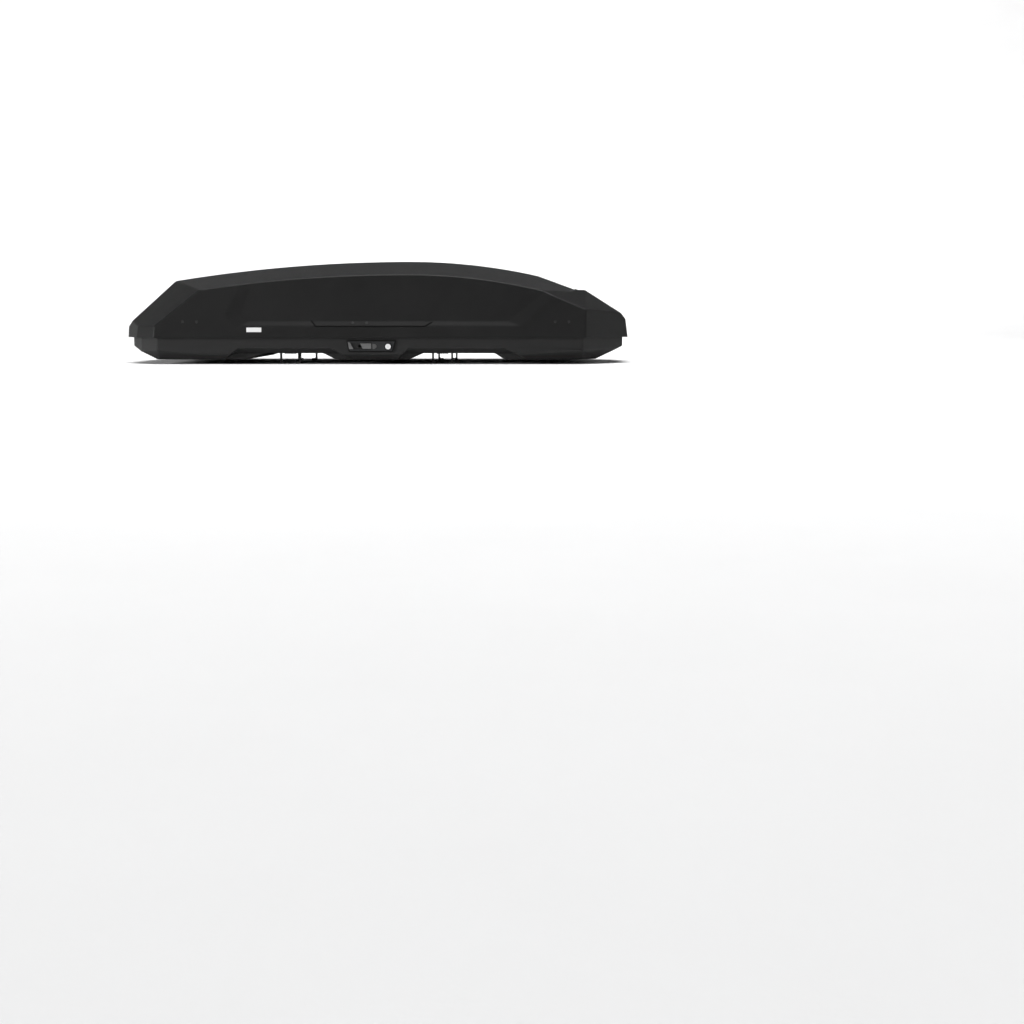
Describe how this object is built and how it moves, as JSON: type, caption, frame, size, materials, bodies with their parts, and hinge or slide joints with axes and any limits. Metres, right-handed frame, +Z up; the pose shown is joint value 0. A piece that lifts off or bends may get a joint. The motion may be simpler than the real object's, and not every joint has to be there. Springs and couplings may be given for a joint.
{
  "type": "roof cargo box",
  "caption": "Long hard-shell roof cargo box with a faceted wedge nose, lid that opens on either side, sliding latches, key locks, lifter arms and quick clamps.",
  "frame": {"origin": "under the middle of the box, level with the underside of the clamp claws", "axes": "+X forward to the nose, +Y to the left side, +Z up"},
  "size_m": [2.32, 0.94, 0.466],
  "materials": {
    "lid_plastic": "fine-grained black ABS",
    "base_plastic": "grained black plastic",
    "black_rubber": "matt black rubber",
    "zinc_steel": "bright zinc-plated steel",
    "black_steel": "black powder coat",
    "bow_aluminium": "satin aluminium",
    "grey_plastic": "satin mid-grey plastic",
    "clamp_plastic": "glass-filled dark grey nylon",
    "white_nylon": "natural nylon",
    "key_silver": "satin silver",
    "badge_pale": "pale plain badge",
    "spring_steel": "oiled spring steel"
  },
  "bodies": {
    "base": {"base_shell": "base_plastic", "base_rim_seal": "black_rubber", "floor_rail_rivets": "zinc_steel", "cradle_bolts": "zinc_steel", "lifter_brackets": "zinc_steel", "lifter_pivot_pins": "zinc_steel", "lifter_springs": "spring_steel", "right_floor_rails": "zinc_steel", "right_pin_cradles": "black_steel", "right_lock_housing": "clamp_plastic", "left_floor_rails": "zinc_steel", "left_pin_cradles": "black_steel", "left_lock_housing": "clamp_plastic"},
    "right_pins": {"right_hinge_pins": "zinc_steel"},
    "lid": {"lid_shell": "lid_plastic", "lid_bows": "bow_aluminium", "lid_rivets": "black_steel", "lifter_tracks": "zinc_steel", "left_hinge_pins": "zinc_steel", "right_lid_brackets": "zinc_steel", "right_badge": "badge_pale", "left_lid_brackets": "zinc_steel", "left_badge": "badge_pale"},
    "right_latch": {"right_latch_bar": "black_steel", "right_latch_slider": "grey_plastic"},
    "right_key": {"right_key_cylinder": "key_silver"},
    "left_latch": {"left_latch_bar": "black_steel", "left_latch_slider": "grey_plastic"},
    "left_key": {"left_key_cylinder": "key_silver"},
    "rear_right_lifter": {"rear_right_lifter_arm": "black_steel", "rear_right_lifter_shoe": "white_nylon"},
    "rear_left_lifter": {"rear_left_lifter_arm": "black_steel", "rear_left_lifter_shoe": "white_nylon"},
    "front_right_lifter": {"front_right_lifter_arm": "black_steel", "front_right_lifter_shoe": "white_nylon"},
    "front_left_lifter": {"front_left_lifter_arm": "black_steel", "front_left_lifter_shoe": "white_nylon"},
    "rear_right_clamp": {"rear_right_clamp_housing": "clamp_plastic", "rear_right_clamp_pad": "black_rubber"},
    "rear_right_clamp_knob": {"rear_right_clamp_knob": "grey_plastic"},
    "rear_right_clamp_front_claw": {"rear_right_clamp_front_claw": "black_steel"},
    "rear_right_clamp_rear_claw": {"rear_right_clamp_rear_claw": "black_steel"},
    "rear_left_clamp": {"rear_left_clamp_housing": "clamp_plastic", "rear_left_clamp_pad": "black_rubber"},
    "rear_left_clamp_knob": {"rear_left_clamp_knob": "grey_plastic"},
    "rear_left_clamp_front_claw": {"rear_left_clamp_front_claw": "black_steel"},
    "rear_left_clamp_rear_claw": {"rear_left_clamp_rear_claw": "black_steel"},
    "front_right_clamp": {"front_right_clamp_housing": "clamp_plastic", "front_right_clamp_pad": "black_rubber"},
    "front_right_clamp_knob": {"front_right_clamp_knob": "grey_plastic"},
    "front_right_clamp_front_claw": {"front_right_clamp_front_claw": "black_steel"},
    "front_right_clamp_rear_claw": {"front_right_clamp_rear_claw": "black_steel"},
    "front_left_clamp": {"front_left_clamp_housing": "clamp_plastic", "front_left_clamp_pad": "black_rubber"},
    "front_left_clamp_knob": {"front_left_clamp_knob": "grey_plastic"},
    "front_left_clamp_front_claw": {"front_left_clamp_front_claw": "black_steel"},
    "front_left_clamp_rear_claw": {"front_left_clamp_rear_claw": "black_steel"}
  },
  "joints": [
    {"name": "lid_opens_right", "type": "hinge", "parent": "base", "child": "right_pins", "pos_m": [0, 0.457, 0.128], "axis": [-1, 0, 0], "range_deg": [0, 50]},
    {"name": "lid_opens_left", "type": "hinge", "parent": "right_pins", "child": "lid", "pos_m": [0, -0.457, 0.128], "axis": [-1, 0, 0], "range_deg": [-50, 0]},
    {"name": "right_latch_slide", "type": "slide", "parent": "base", "child": "right_latch", "axis": [-1, 0, 0], "range_m": [0, 0.024]},
    {"name": "right_key_turn", "type": "hinge", "parent": "base", "child": "right_key", "pos_m": [0.061, -0.446, 0.08], "axis": [0, -1, 0], "range_deg": [0, 90]},
    {"name": "left_latch_slide", "type": "slide", "parent": "base", "child": "left_latch", "axis": [-1, 0, 0], "range_m": [0, 0.024]},
    {"name": "left_key_turn", "type": "hinge", "parent": "base", "child": "left_key", "pos_m": [0.061, 0.446, 0.08], "axis": [0, 1, 0], "range_deg": [0, 90]},
    {"name": "rear_right_lifter_swing", "type": "hinge", "parent": "base", "child": "rear_right_lifter", "pos_m": [-0.772, 0.415, 0.142], "axis": [-1, 0, 0], "range_deg": [0, 52.51]},
    {"name": "rear_left_lifter_swing", "type": "hinge", "parent": "base", "child": "rear_left_lifter", "pos_m": [-0.748, -0.415, 0.142], "axis": [-1, 0, 0], "range_deg": [-52.51, 0]},
    {"name": "front_right_lifter_swing", "type": "hinge", "parent": "base", "child": "front_right_lifter", "pos_m": [0.728, 0.415, 0.142], "axis": [-1, 0, 0], "range_deg": [0, 52.51]},
    {"name": "front_left_lifter_swing", "type": "hinge", "parent": "base", "child": "front_left_lifter", "pos_m": [0.752, -0.415, 0.142], "axis": [-1, 0, 0], "range_deg": [-52.51, 0]},
    {"name": "rear_right_clamp_shift", "type": "slide", "parent": "base", "child": "rear_right_clamp", "axis": [1, 0, 0], "range_m": [-0.028, 0.091]},
    {"name": "rear_right_clamp_front_claw_slide", "type": "slide", "parent": "rear_right_clamp", "child": "rear_right_clamp_front_claw", "axis": [1, 0, 0], "range_m": [0, 0.014]},
    {"name": "rear_right_clamp_rear_claw_slide", "type": "slide", "parent": "rear_right_clamp", "child": "rear_right_clamp_rear_claw", "axis": [1, 0, 0], "range_m": [-0.0141, 0]},
    {"name": "rear_right_clamp_knob_turn", "type": "hinge", "parent": "rear_right_clamp", "child": "rear_right_clamp_knob", "pos_m": [-0.4, -0.3, 0.1], "axis": [0, 0, 1], "range_deg": [0, 720.5]},
    {"name": "rear_left_clamp_shift", "type": "slide", "parent": "base", "child": "rear_left_clamp", "axis": [1, 0, 0], "range_m": [-0.028, 0.091]},
    {"name": "rear_left_clamp_front_claw_slide", "type": "slide", "parent": "rear_left_clamp", "child": "rear_left_clamp_front_claw", "axis": [1, 0, 0], "range_m": [0, 0.014]},
    {"name": "rear_left_clamp_rear_claw_slide", "type": "slide", "parent": "rear_left_clamp", "child": "rear_left_clamp_rear_claw", "axis": [1, 0, 0], "range_m": [-0.0141, 0]},
    {"name": "rear_left_clamp_knob_turn", "type": "hinge", "parent": "rear_left_clamp", "child": "rear_left_clamp_knob", "pos_m": [-0.4, 0.3, 0.1], "axis": [0, 0, 1], "range_deg": [0, 720.5]},
    {"name": "front_right_clamp_shift", "type": "slide", "parent": "base", "child": "front_right_clamp", "axis": [1, 0, 0], "range_m": [-0.016, 0.172]},
    {"name": "front_right_clamp_front_claw_slide", "type": "slide", "parent": "front_right_clamp", "child": "front_right_clamp_front_claw", "axis": [1, 0, 0], "range_m": [0, 0.014]},
    {"name": "front_right_clamp_rear_claw_slide", "type": "slide", "parent": "front_right_clamp", "child": "front_right_clamp_rear_claw", "axis": [1, 0, 0], "range_m": [-0.0141, 0]},
    {"name": "front_right_clamp_knob_turn", "type": "hinge", "parent": "front_right_clamp", "child": "front_right_clamp_knob", "pos_m": [0.3, -0.3, 0.1], "axis": [0, 0, 1], "range_deg": [0, 720.5]},
    {"name": "front_left_clamp_shift", "type": "slide", "parent": "base", "child": "front_left_clamp", "axis": [1, 0, 0], "range_m": [-0.016, 0.172]},
    {"name": "front_left_clamp_front_claw_slide", "type": "slide", "parent": "front_left_clamp", "child": "front_left_clamp_front_claw", "axis": [1, 0, 0], "range_m": [0, 0.014]},
    {"name": "front_left_clamp_rear_claw_slide", "type": "slide", "parent": "front_left_clamp", "child": "front_left_clamp_rear_claw", "axis": [1, 0, 0], "range_m": [-0.0141, 0]},
    {"name": "front_left_clamp_knob_turn", "type": "hinge", "parent": "front_left_clamp", "child": "front_left_clamp_knob", "pos_m": [0.3, 0.3, 0.1], "axis": [0, 0, 1], "range_deg": [0, 720.5]}
  ],
  "couplings": [
    {"joint": "rear_right_lifter_swing", "follows": "lid_opens_right", "ratio": 1.05},
    {"joint": "rear_left_lifter_swing", "follows": "lid_opens_left", "ratio": 1.05},
    {"joint": "front_right_lifter_swing", "follows": "lid_opens_right", "ratio": 1.05},
    {"joint": "front_left_lifter_swing", "follows": "lid_opens_left", "ratio": 1.05},
    {"joint": "rear_right_clamp_rear_claw_slide", "follows": "rear_right_clamp_front_claw_slide", "ratio": -1},
    {"joint": "rear_right_clamp_knob_turn", "follows": "rear_right_clamp_front_claw_slide", "rad_per_m": 897.6},
    {"joint": "rear_left_clamp_rear_claw_slide", "follows": "rear_left_clamp_front_claw_slide", "ratio": -1},
    {"joint": "rear_left_clamp_knob_turn", "follows": "rear_left_clamp_front_claw_slide", "rad_per_m": 897.6},
    {"joint": "front_right_clamp_rear_claw_slide", "follows": "front_right_clamp_front_claw_slide", "ratio": -1},
    {"joint": "front_right_clamp_knob_turn", "follows": "front_right_clamp_front_claw_slide", "rad_per_m": 897.6},
    {"joint": "front_left_clamp_rear_claw_slide", "follows": "front_left_clamp_front_claw_slide", "ratio": -1},
    {"joint": "front_left_clamp_knob_turn", "follows": "front_left_clamp_front_claw_slide", "rad_per_m": 897.6}
  ]
}
